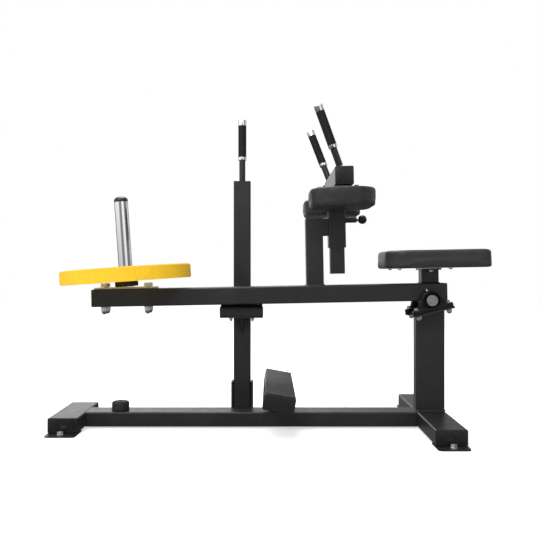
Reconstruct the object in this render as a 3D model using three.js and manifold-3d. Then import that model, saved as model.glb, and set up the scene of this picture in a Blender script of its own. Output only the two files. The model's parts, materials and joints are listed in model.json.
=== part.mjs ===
// Plate-loaded seated calf raise machine.
// Millimetres, +Z up. +X points to the seat end, the catch stands on the +Y side.
// The origin is on the floor, at the middle of the machine's length and width.
import * as THREE from 'three';
import { mergeVertices } from 'three/addons/utils/BufferGeometryUtils.js';
import Module from 'manifold-3d';

const wasm = await Module();
wasm.setup();

const degrees = Math.PI / 180;

// ---- Driving dimensions ----

const GAP = 0.3; // left between pieces that touch
const WALL = 3;
const CORNER = 5;

// Base frame: a rail along X between a short front foot and a wide rear foot.
const BASE_WIDTH = 100;
const BASE_HEIGHT = 50;
const ANCHOR_THICKNESS = 5;
const FRONT_FOOT_X = -687.8;
const FRONT_FOOT_LENGTH = 300;
const REAR_FOOT_LENGTH = 660;
const ANCHOR_LENGTH = 98;
const ANCHOR_PROJECTION = 48;
const ANCHOR_BOLT_OFFSET = 25;
const RUBBER_STOP_X = -526.5;
const UPRIGHT_DEPTH = 50;

// Pivot: a shaft along Y in two pillow blocks, on a plate tilted towards the front.
const PIVOT_X = 540.1;
const PIVOT_Z = 438.7;
const BEARING_HEIGHT = 36.5;
const BEARING_TILT = 14 * degrees;
const BEARING_Y = 71;
const BEARING_DEPTH = 38;
const BEARING_BOLT_SPACING = 105;
const HOUSING_LENGTH = 140;
const HOUSING_FOOT_HEIGHT = 14;
const HOUSING_RADIUS = 34.5;
const HOUSING_FLARE = 50;
const SPOT_FACE_RADIUS = 11.5;
const INSERT_RADIUS = 28;
const SHAFT_RADIUS = 12.5;
const SHAFT_LENGTH = 192;
const HUB_RADIUS = 25;
const PLATE_LENGTH = 140;
const PLATE_WAIST_LENGTH = 106;
const PLATE_WAIST_DEPTH = 94;
const PLATE_WIDTH = 184;
const PLATE_THICKNESS = 6;

// Lever: in its own frame, with the pivot at the origin and the beam on top of it.
const LEVER_TILT = 1.085 * degrees;
const BEAM_WIDTH = 100;
const BEAM_HEIGHT = 60;
const BEAM_BOTTOM = -2.4;
const BEAM_TOP = BEAM_BOTTOM + BEAM_HEIGHT;
const BEAM_FRONT = -1155;
const BEAM_REAR = 60;

// Weight peg, leaning a little away from the seat.
const PEG_X = -1043.6;
const PEG_LEAN = 2.9 * degrees;
const PEG_RADIUS = 24;
const PEG_LENGTH = 297.5;
const PEG_WALL = 4;
const FLANGE_LENGTH = 208;
const FLANGE_THICKNESS = 6;
const PEG_BOLT_SPACING_X = 150;
const PEG_BOLT_SPACING_Y = 52;
const STOP_RING_RADIUS = 40;
const STOP_RING_HEIGHT = 17;
const WEIGHT_RADIUS = 225;
const WEIGHT_THICKNESS = 48.5;
const WEIGHT_BORE_RADIUS = 25.5;
const WEIGHT_HUB_RADIUS = 35;

// Thigh pad bracket on the beam.
const POST_SIZE = 60;
const PAD_POST_X = -388;
const PAD_POST_TOP = 289.3;
const SLEEVE_X = -309;
const SLEEVE_BOTTOM = 187.2;
const SLEEVE_TOP = 335.2;
const SLIDER_SIZE = 50;
const SLIDER_BOTTOM = 98.8;
const PIN_Z = 283.5;
const PIN_HOLE_PITCH = 25;
const PIN_RADIUS = 5;
const BARREL_RADIUS = 10.5;
const BARREL_LENGTH = 40;
const KNOB_RADIUS = 15.5;
const CROSSBAR_X = -300;
const CROSSBAR_BOTTOM = 382;
const CROSSBAR_LENGTH = 444;
const THIGH_PAD_Y = 200.5;
const PAD_PLATE_Y = 122;
const THIGH_PAD_LENGTH = 211;
const THIGH_PAD_WIDTH = 265;
const THIGH_PAD_THICKNESS = 60;
const THIGH_PAD_BOTTOM = 307.7;
const PAD_PLATE_THICKNESS = 13.7;

// Seat on the beam, above the pivot.
const SEAT_POST_X = 9;
const SEAT_POST_HEIGHT = 45.4;
const SEAT_PLATE_LENGTH = 66;
const SEAT_PLATE_WIDTH = 120;
const SEAT_PLATE_THICKNESS = 6;
const SEAT_X = 21;
const SEAT_LENGTH = 358;
const SEAT_WIDTH = 285;
const SEAT_THICKNESS = 61;

// Hand grips: the same rod, collar, sleeve and cap on the pad bracket and the catch.
const ROD_RADIUS = 11;
const COLLAR_RADIUS = 15;
const COLLAR_LENGTH = 11;
const GRIP_RADIUS = 14.5;
const GRIP_LENGTH = 113;
const GRIP_CORE_RADIUS = 9;
const CAP_LENGTH = 21;

// Catch: a post hinged behind the rail, with a shelf that reaches under the beam.
const CATCH_X = -105.2;
const CATCH_Y = 84;
const CATCH_HINGE_Z = 32;
const CATCH_POST_BOTTOM = 20;
const CATCH_POST_TOP = 859;
const CATCH_ROD_LENGTH = 77;
const SHELF_LENGTH = 146;
const SHELF_FRONT_Y = -6;
const SHELF_BOTTOM = 379;
const SHELF_TOP = 412.5;
const SHELF_PLATE_THICKNESS = 4;
const GUSSET_HEIGHT = 54;

// Foot bar across the rail.
const FOOT_BAR_X = 23.3;
const FOOT_BAR_Z = 125.4;
const FOOT_BAR_TILT = 10.3 * degrees;
const FOOT_BAR_LENGTH = 584;
const TREAD_THICKNESS = 3;

// ---- Worked out from them ----

const RAIL_Z = ANCHOR_THICKNESS + BASE_HEIGHT / 2;
const RAIL_TOP = ANCHOR_THICKNESS + BASE_HEIGHT;
const REAR_FOOT_X = PIVOT_X + BEARING_HEIGHT * Math.sin(BEARING_TILT);
const PLATE_TOP_Z = PIVOT_Z - BEARING_HEIGHT * Math.cos(BEARING_TILT);

// ---- Materials ----

function finish(colour, roughness, metalness) {
  return new THREE.MeshStandardMaterial({ color: colour, roughness, metalness });
}

const powderCoat = finish(0x2b2b2d, 0.45, 0.1);
const castHousing = finish(0x242426, 0.55, 0.2);
const chrome = finish(0xd6d8db, 0.15, 1);
const zinc = finish(0xb9bcc0, 0.35, 1);
const blackRubber = finish(0x1b1b1c, 0.8, 0);
const gripFoam = finish(0x161617, 0.7, 0);
const blackPlastic = finish(0x1d1d1f, 0.35, 0);
const vinyl = finish(0x323234, 0.5, 0);
const yellowRubber = finish(0xf0c132, 0.75, 0);

// ---- Shapes ----

function roundedRectangle(width, height, radius) {
  return roundedOutline(width, height, radius, radius);
}

// A rectangle about the origin whose -X and +X corners have their own radii.
function roundedOutline(width, height, frontRadius, rearRadius) {
  const x = width / 2;
  const y = height / 2;
  const quarter = Math.PI / 2;
  const shape = new THREE.Shape();
  shape.moveTo(-x + frontRadius, -y);
  shape.absarc(x - rearRadius, -y + rearRadius, rearRadius, -quarter, 0);
  shape.absarc(x - rearRadius, y - rearRadius, rearRadius, 0, quarter);
  shape.absarc(-x + frontRadius, y - frontRadius, frontRadius, quarter, 2 * quarter);
  shape.absarc(-x + frontRadius, -y + frontRadius, frontRadius, 2 * quarter, 3 * quarter);
  return shape;
}

function hexagon(acrossFlats) {
  const radius = acrossFlats / Math.sqrt(3);
  const shape = new THREE.Shape();
  shape.moveTo(radius, 0);
  for (let corner = 1; corner < 6; corner++) {
    const angle = corner * 60 * degrees;
    shape.lineTo(radius * Math.cos(angle), radius * Math.sin(angle));
  }
  return shape;
}

function polygon(points) {
  return new THREE.Shape(points.map(([x, y]) => new THREE.Vector2(x, y)));
}

function extruded(shape, depth, curveSegments = 2) {
  return new THREE.ExtrudeGeometry(shape, { depth, bevelEnabled: false, curveSegments });
}

// A solid of revolution about Z. The profile is a list of [radius, z], upwards on the outside.
function turned(profile, segments = 16) {
  const points = profile.map(([radius, z]) => new THREE.Vector2(radius, z));
  return new THREE.LatheGeometry(points, segments).rotateX(Math.PI / 2);
}

function cylinder(radius, bottom, top, segments = 16) {
  return turned([[0, bottom], [radius, bottom], [radius, top], [0, top]], segments);
}

function ring(innerRadius, outerRadius, bottom, top, segments = 16) {
  const profile = [[innerRadius, bottom], [outerRadius, bottom], [outerRadius, top]];
  return turned([...profile, [innerRadius, top], [innerRadius, bottom]], segments);
}

function turnToX(geometry) {
  return geometry.rotateY(Math.PI / 2);
}

function turnToY(geometry) {
  return geometry.rotateX(-Math.PI / 2);
}

// Stands an extrusion up: its outline's height becomes Z, and its depth runs towards -Y.
function stood(geometry) {
  return geometry.rotateX(Math.PI / 2);
}

// The same, turned so that the outline lies in YZ and the depth runs towards +X.
function stoodAcross(geometry) {
  return stood(geometry).rotateZ(Math.PI / 2);
}

function tubeSection(width, height, wall = WALL) {
  const shape = roundedRectangle(width, height, CORNER);
  shape.holes.push(roundedRectangle(width - 2 * wall, height - 2 * wall, CORNER - wall));
  return shape;
}

// Square tubes. Those along X and Y are centred on the origin, those along Z stand on it.
function tubeAlongX(length, width, height) {
  return turnToX(extruded(tubeSection(height, width), length)).translate(-length / 2, 0, 0);
}

function tubeAlongY(length, width, height) {
  return turnToY(extruded(tubeSection(width, height), length)).translate(0, -length / 2, 0);
}

function tubeAlongZ(length, width, depth) {
  return extruded(tubeSection(width, depth), length);
}

function box(low, high) {
  const size = high.map((value, axis) => value - low[axis]);
  const middle = high.map((value, axis) => (value + low[axis]) / 2);
  return new THREE.BoxGeometry(...size).translate(...middle);
}

// A padded shape: the outline with its upper and lower edges rounded.
function cushion(outline, thickness, round) {
  const options = { bevelThickness: round, bevelSize: round, bevelOffset: -round, bevelSegments: 2 };
  const body = { depth: thickness - 2 * round, curveSegments: 5, ...options };
  return new THREE.ExtrudeGeometry(outline, body).translate(0, 0, round);
}

// ---- Booleans ----

function solidOf(geometry) {
  const bare = geometry.clone();
  bare.deleteAttribute('normal');
  bare.deleteAttribute('uv');
  const merged = mergeVertices(bare, 1e-4);
  const corners = merged.index.array;
  const kept = [];
  for (let i = 0; i < corners.length; i += 3) {
    const [a, b, c] = corners.slice(i, i + 3);
    if (a !== b && b !== c && c !== a) kept.push(a, b, c);
  }
  const vertProperties = merged.attributes.position.array;
  const triVerts = new Uint32Array(kept);
  return new wasm.Manifold(new wasm.Mesh({ numProp: 3, vertProperties, triVerts }));
}

function geometryOf(solid) {
  const mesh = solid.getMesh();
  const geometry = new THREE.BufferGeometry();
  geometry.setAttribute('position', new THREE.BufferAttribute(mesh.vertProperties, 3));
  geometry.setIndex(new THREE.BufferAttribute(mesh.triVerts, 1));
  return geometry;
}

function join(first, ...others) {
  return geometryOf(others.reduce((solid, other) => solid.add(solidOf(other)), solidOf(first)));
}

function cut(body, ...tools) {
  return geometryOf(tools.reduce((solid, tool) => solid.subtract(solidOf(tool)), solidOf(body)));
}

// ---- Placing ----

function addPart(parent, name, geometry, material, position = [0, 0, 0]) {
  const mesh = new THREE.Mesh(geometry, material);
  mesh.name = name;
  mesh.position.set(...position);
  parent.add(mesh);
}

function addGroup(parent, position, rotation = [0, 0, 0]) {
  const group = new THREE.Group();
  group.position.set(...position);
  group.rotation.set(...rotation);
  parent.add(group);
  return group;
}

// ---- Repeated hardware ----

// A hex head on a washer at z = 0 upwards, and a shank down to -grip.
function hexBolt(flats, headHeight, washerRadius, shankRadius, grip) {
  const washer = 2.5;
  const profile = [[0, -grip], [shankRadius, -grip], [shankRadius, 0], [washerRadius, 0]];
  const stem = turned([...profile, [washerRadius, washer], [0, washer]], 12);
  return join(stem, extruded(hexagon(flats), headHeight + washer));
}

// A bolt with its domed cap nut drawn up from below.
function boltWithCapNut(flats, headHeight, washerRadius, shankRadius, grip, nutHeight) {
  const bolt = hexBolt(flats, headHeight, washerRadius, shankRadius, grip + 1);
  const nut = extruded(hexagon(flats), nutHeight * 0.55).translate(0, 0, -grip - nutHeight * 0.55);
  const dome = flats * 0.45;
  const tip = turned([[0, -grip - nutHeight], [dome * 0.6, -grip - nutHeight * 0.93],
    [dome, -grip - nutHeight * 0.7], [dome, -grip - nutHeight * 0.3], [0, -grip - nutHeight * 0.3]], 12);
  return join(bolt, nut, tip);
}

// Rod with its collar, the core under the sleeve, and the end cap, from z = 0 upwards.
function gripRod(rodLength) {
  const collarTop = rodLength + COLLAR_LENGTH;
  const capBottom = collarTop + GRIP_LENGTH;
  const capTop = capBottom + CAP_LENGTH;
  const chamfer = 2;
  return turned([
    [0, 0], [ROD_RADIUS, 0], [ROD_RADIUS, rodLength], [COLLAR_RADIUS, rodLength],
    [COLLAR_RADIUS, collarTop], [GRIP_CORE_RADIUS, collarTop], [GRIP_CORE_RADIUS, capBottom],
    [COLLAR_RADIUS, capBottom], [COLLAR_RADIUS, capTop - chamfer], [COLLAR_RADIUS - chamfer, capTop],
    [0, capTop],
  ]);
}

function gripSleeve(rodLength) {
  const bottom = rodLength + COLLAR_LENGTH + GAP;
  return ring(GRIP_CORE_RADIUS + GAP, GRIP_RADIUS, bottom, bottom + GRIP_LENGTH - 2 * GAP);
}

// ---- Frame ----

function addBase(machine) {
  const footInside = FRONT_FOOT_X + BASE_WIDTH / 2 + GAP;
  const rearInside = REAR_FOOT_X - BASE_WIDTH / 2 - GAP;
  const rail = tubeAlongX(rearInside - footInside, BASE_WIDTH, BASE_HEIGHT);
  addPart(machine, 'base_rail', rail, powderCoat, [(rearInside + footInside) / 2, 0, RAIL_Z]);
  const frontFoot = tubeAlongY(FRONT_FOOT_LENGTH, BASE_WIDTH, BASE_HEIGHT);
  addPart(machine, 'front_foot_tube', frontFoot, powderCoat, [FRONT_FOOT_X, 0, RAIL_Z]);
  const rearFoot = tubeAlongY(REAR_FOOT_LENGTH, BASE_WIDTH, BASE_HEIGHT);
  addPart(machine, 'rear_foot_tube', rearFoot, powderCoat, [REAR_FOOT_X, 0, RAIL_Z]);
  addPart(machine, 'rubber_stop', rubberStop(), blackRubber, [RUBBER_STOP_X, 0, RAIL_TOP + GAP]);
}

function rubberStop() {
  return turned([[0, 0], [30, 0], [30, 24], [28, 28.5], [23, 31], [0, 31]], 24);
}

// Floor plate under a foot's end, with its outer corners rounded and a bolt hole.
function anchorPlate() {
  const halfWidth = BASE_WIDTH / 2;
  const round = 14;
  const shape = new THREE.Shape();
  shape.moveTo(-halfWidth, 0);
  shape.lineTo(halfWidth, 0);
  shape.absarc(halfWidth - round, ANCHOR_LENGTH - round, round, 0, Math.PI / 2);
  shape.absarc(-halfWidth + round, ANCHOR_LENGTH - round, round, Math.PI / 2, Math.PI);
  const hole = new THREE.Path();
  hole.absarc(0, ANCHOR_LENGTH - ANCHOR_PROJECTION + ANCHOR_BOLT_OFFSET, 7, 0, 2 * Math.PI);
  shape.holes.push(hole);
  return extruded(shape, ANCHOR_THICKNESS - GAP, 5);
}

function addAnchors(machine) {
  const feet = [['front', FRONT_FOOT_X, FRONT_FOOT_LENGTH], ['rear', REAR_FOOT_X, REAR_FOOT_LENGTH]];
  for (const [place, x, length] of feet) {
    for (const [side, turn] of [['near', Math.PI], ['far', 0]]) {
      const corner = addGroup(machine, [x, 0, 0], [0, 0, turn]);
      const inner = length / 2 + ANCHOR_PROJECTION - ANCHOR_LENGTH;
      addPart(corner, `anchor_plate_${place}_${side}`, anchorPlate(), powderCoat, [0, inner, 0]);
      const bolt = hexBolt(19, 9, 12, 6, ANCHOR_THICKNESS - GAP);
      const boltY = length / 2 + ANCHOR_BOLT_OFFSET;
      addPart(corner, `anchor_bolt_${place}_${side}`, bolt, zinc, [0, boltY, ANCHOR_THICKNESS]);
    }
  }
}

// The upright's top is cut parallel to the tilted bearing plate.
function addUpright(machine) {
  const bottom = RAIL_TOP + GAP;
  const blank = tubeAlongZ(PLATE_TOP_Z + 30 - bottom, BASE_WIDTH, UPRIGHT_DEPTH);
  const above = box([-150, -80, -PLATE_THICKNESS - 2 * GAP], [150, 80, 100]);
  above.rotateY(-BEARING_TILT).translate(0, 0, PLATE_TOP_Z - bottom);
  addPart(machine, 'rear_upright', cut(blank, above), powderCoat, [REAR_FOOT_X, 0, bottom]);
}

// As wide as the upright in the middle, and as long as the housings at its ends.
function bearingPlate() {
  const [long, wide] = [PLATE_LENGTH / 2, PLATE_WIDTH / 2];
  const [waist, inner] = [PLATE_WAIST_LENGTH / 2, PLATE_WAIST_DEPTH / 2];
  const shape = polygon([
    [-long, -wide], [long, -wide], [long, -inner], [waist, -inner], [waist, inner], [long, inner],
    [long, wide], [-long, wide], [-long, inner], [-waist, inner], [-waist, -inner], [-long, -inner],
  ]);
  for (const x of [-BEARING_BOLT_SPACING / 2, BEARING_BOLT_SPACING / 2]) {
    for (const y of [-BEARING_Y, BEARING_Y]) {
      const hole = new THREE.Path();
      hole.absarc(x, y, 5.5, 0, 2 * Math.PI);
      shape.holes.push(hole);
    }
  }
  return extruded(shape, PLATE_THICKNESS, 6).translate(0, 0, -PLATE_THICKNESS);
}

// Pillow block housing: a foot with two bolt lugs, a dome, and a boss round the insert's seat.
function bearingHousing() {
  const foot = extruded(roundedRectangle(HOUSING_LENGTH, BEARING_DEPTH, 12), HOUSING_FOOT_HEIGHT);
  const domeDepth = BEARING_DEPTH - 8;
  const shoulder = HOUSING_FOOT_HEIGHT - 2;
  const drop = BEARING_HEIGHT - shoulder;
  const reach = Math.hypot(HOUSING_FLARE, drop);
  const tangent = Math.acos(HOUSING_RADIUS / reach) - Math.atan2(drop, HOUSING_FLARE);
  const dome = new THREE.Shape();
  dome.moveTo(-HOUSING_FLARE, 1);
  dome.lineTo(HOUSING_FLARE, 1);
  dome.lineTo(HOUSING_FLARE, shoulder);
  dome.absarc(0, BEARING_HEIGHT, HOUSING_RADIUS, tangent, Math.PI - tangent);
  dome.lineTo(-HOUSING_FLARE, shoulder);
  const shell = stood(extruded(dome, domeDepth, 10)).translate(0, domeDepth / 2, 0);
  const boss = turnToY(cylinder(30.5, -BEARING_DEPTH / 2, BEARING_DEPTH / 2, 24));
  const seat = turnToY(cylinder(INSERT_RADIUS + GAP, -BEARING_DEPTH, BEARING_DEPTH, 24));
  const holes = [];
  for (const x of [-BEARING_BOLT_SPACING / 2, BEARING_BOLT_SPACING / 2]) {
    holes.push(cylinder(5.5, -1, HOUSING_FOOT_HEIGHT + 1, 16).translate(x, 0, 0));
    holes.push(cylinder(SPOT_FACE_RADIUS, HOUSING_FOOT_HEIGHT, BEARING_HEIGHT, 16).translate(x, 0, 0));
  }
  const block = join(foot, shell, boss.translate(0, 0, BEARING_HEIGHT));
  return cut(block, seat.translate(0, 0, BEARING_HEIGHT), ...holes);
}

function addBearings(machine) {
  const seat = addGroup(machine, [REAR_FOOT_X, 0, PLATE_TOP_Z], [0, -BEARING_TILT, 0]);
  addPart(seat, 'bearing_plate', bearingPlate(), powderCoat, [0, 0, -GAP]);
  const grip = HOUSING_FOOT_HEIGHT + PLATE_THICKNESS + 3 * GAP;
  const boltZ = HOUSING_FOOT_HEIGHT + GAP;
  for (const [side, y] of [['near', -BEARING_Y], ['far', BEARING_Y]]) {
    addPart(seat, `bearing_housing_${side}`, bearingHousing(), castHousing, [0, y, 0]);
    for (const [end, x] of [['front', -BEARING_BOLT_SPACING / 2], ['rear', BEARING_BOLT_SPACING / 2]]) {
      const bolt = boltWithCapNut(17, 7, 10.5, 5, grip, 16);
      addPart(seat, `bearing_bolt_${side}_${end}`, bolt, zinc, [x, y, boltZ]);
    }
  }
}

function addFootBar(machine) {
  const bar = addGroup(machine, [FOOT_BAR_X, 0, FOOT_BAR_Z], [0, FOOT_BAR_TILT, 0]);
  addPart(bar, 'foot_bar', tubeAlongY(FOOT_BAR_LENGTH, BASE_WIDTH, BASE_HEIGHT), powderCoat);
  const tread = extruded(roundedRectangle(BASE_WIDTH - 4, FOOT_BAR_LENGTH - 8, 3), TREAD_THICKNESS);
  addPart(bar, 'foot_tread', tread, blackRubber, [0, 0, BASE_HEIGHT / 2 + GAP]);
  const bottom = RAIL_TOP + GAP;
  const stub = tubeAlongZ(FOOT_BAR_Z - bottom, POST_SIZE, POST_SIZE);
  const above = box([-90, -60, -BASE_HEIGHT / 2 - GAP], [90, 60, 60]);
  above.rotateY(FOOT_BAR_TILT).translate(0, 0, FOOT_BAR_Z - bottom);
  addPart(machine, 'foot_bar_bracket', cut(stub, above), powderCoat, [FOOT_BAR_X, 0, bottom]);
}

// ---- Catch ----

// Two cheeks behind the rail, joined by a strip under the post.
function catchBracket() {
  const thickness = 7;
  const inside = POST_SIZE / 2 + 1.5;
  const back = BASE_WIDTH / 2 + GAP;
  const depth = 75;
  const top = 145;
  const round = 22;
  const side = new THREE.Shape();
  side.moveTo(back, ANCHOR_THICKNESS);
  side.lineTo(back + depth, ANCHOR_THICKNESS);
  side.absarc(back + depth - round, top - round, round, 0, Math.PI / 2);
  side.lineTo(back, top);
  const cheek = stoodAcross(extruded(side, thickness, 5));
  const left = cheek.clone().translate(-inside - thickness, 0, 0);
  const right = cheek.clone().translate(inside, 0, 0);
  const strip = box([-inside - 1, back, ANCHOR_THICKNESS], [inside + 1, back + depth - 10, 9]);
  const hole = turnToX(cylinder(6.5, -60, 60, 12)).translate(0, CATCH_Y, CATCH_HINGE_Z);
  return cut(join(left, strip, right), hole);
}

function catchHingeBolt() {
  const reach = POST_SIZE / 2 + 8.5 + GAP;
  const bolt = boltWithCapNut(19, 8, 12, 6, 2 * reach, 14);
  return turnToX(bolt).translate(reach, 0, 0);
}

function catchPost() {
  const tube = tubeAlongZ(CATCH_POST_TOP - CATCH_POST_BOTTOM, POST_SIZE, POST_SIZE);
  const hole = turnToX(cylinder(6.5, -60, 60, 12));
  return cut(tube, hole.translate(0, 0, CATCH_HINGE_Z - CATCH_POST_BOTTOM));
}

// Shelf tube on a plate, with a gusset down the post's face.
function catchShelf() {
  const back = CATCH_Y - POST_SIZE / 2 - GAP;
  const width = back - SHELF_FRONT_Y;
  const middle = (back + SHELF_FRONT_Y) / 2;
  const height = SHELF_TOP - SHELF_BOTTOM;
  const tube = tubeAlongX(SHELF_LENGTH, width, height);
  tube.translate(0, middle, SHELF_BOTTOM + height / 2);
  const plateBottom = SHELF_BOTTOM - SHELF_PLATE_THICKNESS;
  const plateHalf = SHELF_LENGTH / 2 + 1.5;
  const plate = box([-plateHalf, SHELF_FRONT_Y, plateBottom], [plateHalf, back, SHELF_BOTTOM + 1]);
  const web = polygon([
    [back, plateBottom - GUSSET_HEIGHT], [back, plateBottom + 1], [back - 48, plateBottom + 1],
    [back - 48, plateBottom - 8], [back - 8, plateBottom - GUSSET_HEIGHT],
  ]);
  const gusset = stoodAcross(extruded(web, 6)).translate(-3, 0, 0);
  return join(tube, plate, gusset);
}

// The pad's top is an arc about the hinge, so that it draws out sideways from under the beam.
function catchPad() {
  const beamLow = PIVOT_Z + BEAM_BOTTOM + (CATCH_X - SHELF_LENGTH / 2 - PIVOT_X) * Math.tan(LEVER_TILT) - GAP;
  const edge = BEAM_WIDTH / 2;
  const radius = Math.hypot(CATCH_Y - edge, beamLow - CATCH_HINGE_Z);
  const front = SHELF_FRONT_Y + 2;
  const steps = 8;
  const outline = [[edge, SHELF_TOP + GAP], [front, SHELF_TOP + GAP]];
  for (let step = 0; step <= steps; step++) {
    const y = front + (edge - front) * step / steps;
    outline.push([y, CATCH_HINGE_Z + Math.sqrt(radius ** 2 - (CATCH_Y - y) ** 2)]);
  }
  const pad = stoodAcross(extruded(polygon(outline.reverse()), SHELF_LENGTH));
  return pad.translate(-SHELF_LENGTH / 2, 0, 0);
}

function addCatch(machine) {
  const place = [CATCH_X, 0, 0];
  addPart(machine, 'catch_bracket', catchBracket(), powderCoat, place);
  addPart(machine, 'catch_hinge_bolt', catchHingeBolt(), zinc, [CATCH_X, CATCH_Y, CATCH_HINGE_Z]);
  addPart(machine, 'catch_post', catchPost(), powderCoat, [CATCH_X, CATCH_Y, CATCH_POST_BOTTOM]);
  addPart(machine, 'catch_shelf', catchShelf(), powderCoat, place);
  addPart(machine, 'catch_pad', catchPad(), blackRubber, place);
  const handle = [CATCH_X, CATCH_Y, CATCH_POST_TOP + GAP];
  addPart(machine, 'catch_handle', gripRod(CATCH_ROD_LENGTH), chrome, handle);
  addPart(machine, 'catch_grip', gripSleeve(CATCH_ROD_LENGTH), gripFoam, handle);
}

// ---- Lever ----

function pegBoltPlaces() {
  const places = [];
  for (const [end, x] of [['front', -PEG_BOLT_SPACING_X / 2], ['rear', PEG_BOLT_SPACING_X / 2]]) {
    for (const [side, y] of [['near', -PEG_BOLT_SPACING_Y / 2], ['far', PEG_BOLT_SPACING_Y / 2]]) {
      places.push({ name: `${end}_${side}`, x: PEG_X + x, y });
    }
  }
  return places;
}

function leverBeam() {
  const length = BEAM_REAR - BEAM_FRONT;
  const tube = tubeAlongX(length, BEAM_WIDTH, BEAM_HEIGHT);
  tube.translate((BEAM_REAR + BEAM_FRONT) / 2, 0, BEAM_BOTTOM + BEAM_HEIGHT / 2);
  const notch = turnToY(cylinder(HUB_RADIUS + GAP, -60, 60, 24));
  const holes = pegBoltPlaces().map(({ x, y }) => cylinder(7, -10, 80, 8).translate(x, y, 0));
  return cut(tube, notch, ...holes);
}

function pivotShaft() {
  const hub = BEAM_WIDTH / 2 - 1;
  const end = SHAFT_LENGTH / 2;
  const profile = [
    [0, -end], [SHAFT_RADIUS, -end], [SHAFT_RADIUS, -hub], [HUB_RADIUS, -hub],
    [HUB_RADIUS, hub], [SHAFT_RADIUS, hub], [SHAFT_RADIUS, end], [0, end],
  ];
  return turnToY(turned(profile, 24));
}

// Flange plate with the leaning tube welded on it.
function weightPeg() {
  const [long, wide] = [FLANGE_LENGTH / 2, BEAM_WIDTH / 2];
  const flange = box([-long, -wide, 0], [long, wide, FLANGE_THICKNESS]);
  const tube = ring(PEG_RADIUS - PEG_WALL, PEG_RADIUS, 1, FLANGE_THICKNESS + PEG_LENGTH, 24);
  const holes = pegBoltPlaces().map(({ x, y }) => cylinder(7, -1, 10, 8).translate(x - PEG_X, y, 0));
  return cut(join(flange, tube.rotateY(-PEG_LEAN)), ...holes);
}

function pegCap() {
  const inside = PEG_RADIUS - PEG_WALL - GAP;
  return turned([
    [0, -20], [inside, -20], [inside, GAP], [PEG_RADIUS, GAP], [PEG_RADIUS, 7],
    [PEG_RADIUS * 0.9, 12], [PEG_RADIUS * 0.62, 16.5], [PEG_RADIUS * 0.3, 18.6], [0, 19],
  ], 24);
}

function addPeg(lever) {
  const flangeZ = BEAM_TOP + GAP;
  addPart(lever, 'weight_peg', weightPeg(), chrome, [PEG_X, 0, flangeZ]);
  const grip = BEAM_HEIGHT + FLANGE_THICKNESS + 3 * GAP;
  const boltZ = flangeZ + FLANGE_THICKNESS + GAP;
  for (const { name, x, y } of pegBoltPlaces()) {
    const bolt = boltWithCapNut(20, 11, 11.5, 6, grip, 27);
    addPart(lever, `peg_bolt_${name}`, bolt, zinc, [x, y, boltZ]);
  }
  const axis = addGroup(lever, [PEG_X, 0, flangeZ], [0, -PEG_LEAN, 0]);
  addPart(axis, 'peg_cap', pegCap(), blackPlastic, [0, 0, FLANGE_THICKNESS + PEG_LENGTH]);
  const ringZ = FLANGE_THICKNESS + STOP_RING_RADIUS * Math.tan(PEG_LEAN) + GAP;
  const stop = ring(PEG_RADIUS + GAP, STOP_RING_RADIUS, 0, STOP_RING_HEIGHT, 24);
  addPart(axis, 'peg_stop_ring', stop, blackRubber, [0, 0, ringZ]);
  addWeight(axis, ringZ + STOP_RING_HEIGHT + GAP);
}

// Bumper plate: thick rim and boss, thinner web, steel hub.
function weightPlate() {
  const bore = WEIGHT_HUB_RADIUS + GAP;
  const edge = 4;
  const web = 8;
  const bossRadius = 62;
  const rimRadius = 168;
  const top = WEIGHT_THICKNESS;
  return turned([
    [bore, 0], [bossRadius, 0], [bossRadius + 6, web], [rimRadius - 6, web], [rimRadius, 0],
    [WEIGHT_RADIUS - edge, 0], [WEIGHT_RADIUS, edge], [WEIGHT_RADIUS, top - edge],
    [WEIGHT_RADIUS - edge, top], [rimRadius, top], [rimRadius - 6, top - web],
    [bossRadius + 6, top - web], [bossRadius, top], [bore, top], [bore, 0],
  ], 40);
}

function addWeight(axis, z) {
  addPart(axis, 'weight_plate', weightPlate(), yellowRubber, [0, 0, z]);
  const hub = ring(WEIGHT_BORE_RADIUS, WEIGHT_HUB_RADIUS, 0, WEIGHT_THICKNESS, 24);
  addPart(axis, 'weight_plate_hub', hub, zinc, [0, 0, z]);
}

function padPost() {
  const post = tubeAlongZ(PAD_POST_TOP - BEAM_TOP - GAP, POST_SIZE, POST_SIZE);
  post.translate(PAD_POST_X, 0, BEAM_TOP + GAP);
  const from = PAD_POST_X + POST_SIZE / 2 - WALL;
  const to = SLEEVE_X - POST_SIZE / 2 - GAP;
  const stub = tubeAlongX(to - from, POST_SIZE, POST_SIZE);
  return join(post, stub.translate((from + to) / 2, 0, PAD_POST_TOP - POST_SIZE / 2));
}

function padSleeve() {
  const inner = (SLIDER_SIZE + 2) / 2;
  const sleeve = tubeAlongZ(SLEEVE_TOP - SLEEVE_BOTTOM, POST_SIZE, POST_SIZE);
  const hole = turnToX(cylinder(PIN_RADIUS + 0.5, inner, 60, 12));
  return cut(sleeve, hole.translate(0, 0, PIN_Z - SLEEVE_BOTTOM));
}

function seatMount() {
  const post = tubeAlongZ(SEAT_POST_HEIGHT + 1, POST_SIZE, POST_SIZE);
  const plate = extruded(roundedRectangle(SEAT_PLATE_LENGTH, SEAT_PLATE_WIDTH, 4), SEAT_PLATE_THICKNESS);
  return join(post, plate.translate(0, 0, SEAT_POST_HEIGHT));
}

function addSeat(lever) {
  const bottom = BEAM_TOP + GAP;
  addPart(lever, 'seat_mount', seatMount(), powderCoat, [SEAT_POST_X, 0, bottom]);
  const cushionZ = bottom + SEAT_POST_HEIGHT + SEAT_PLATE_THICKNESS + GAP;
  const outline = roundedOutline(SEAT_LENGTH, SEAT_WIDTH, 72, 36);
  addPart(lever, 'seat_cushion', cushion(outline, SEAT_THICKNESS, 10), vinyl, [SEAT_X, 0, cushionZ]);
}

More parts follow.
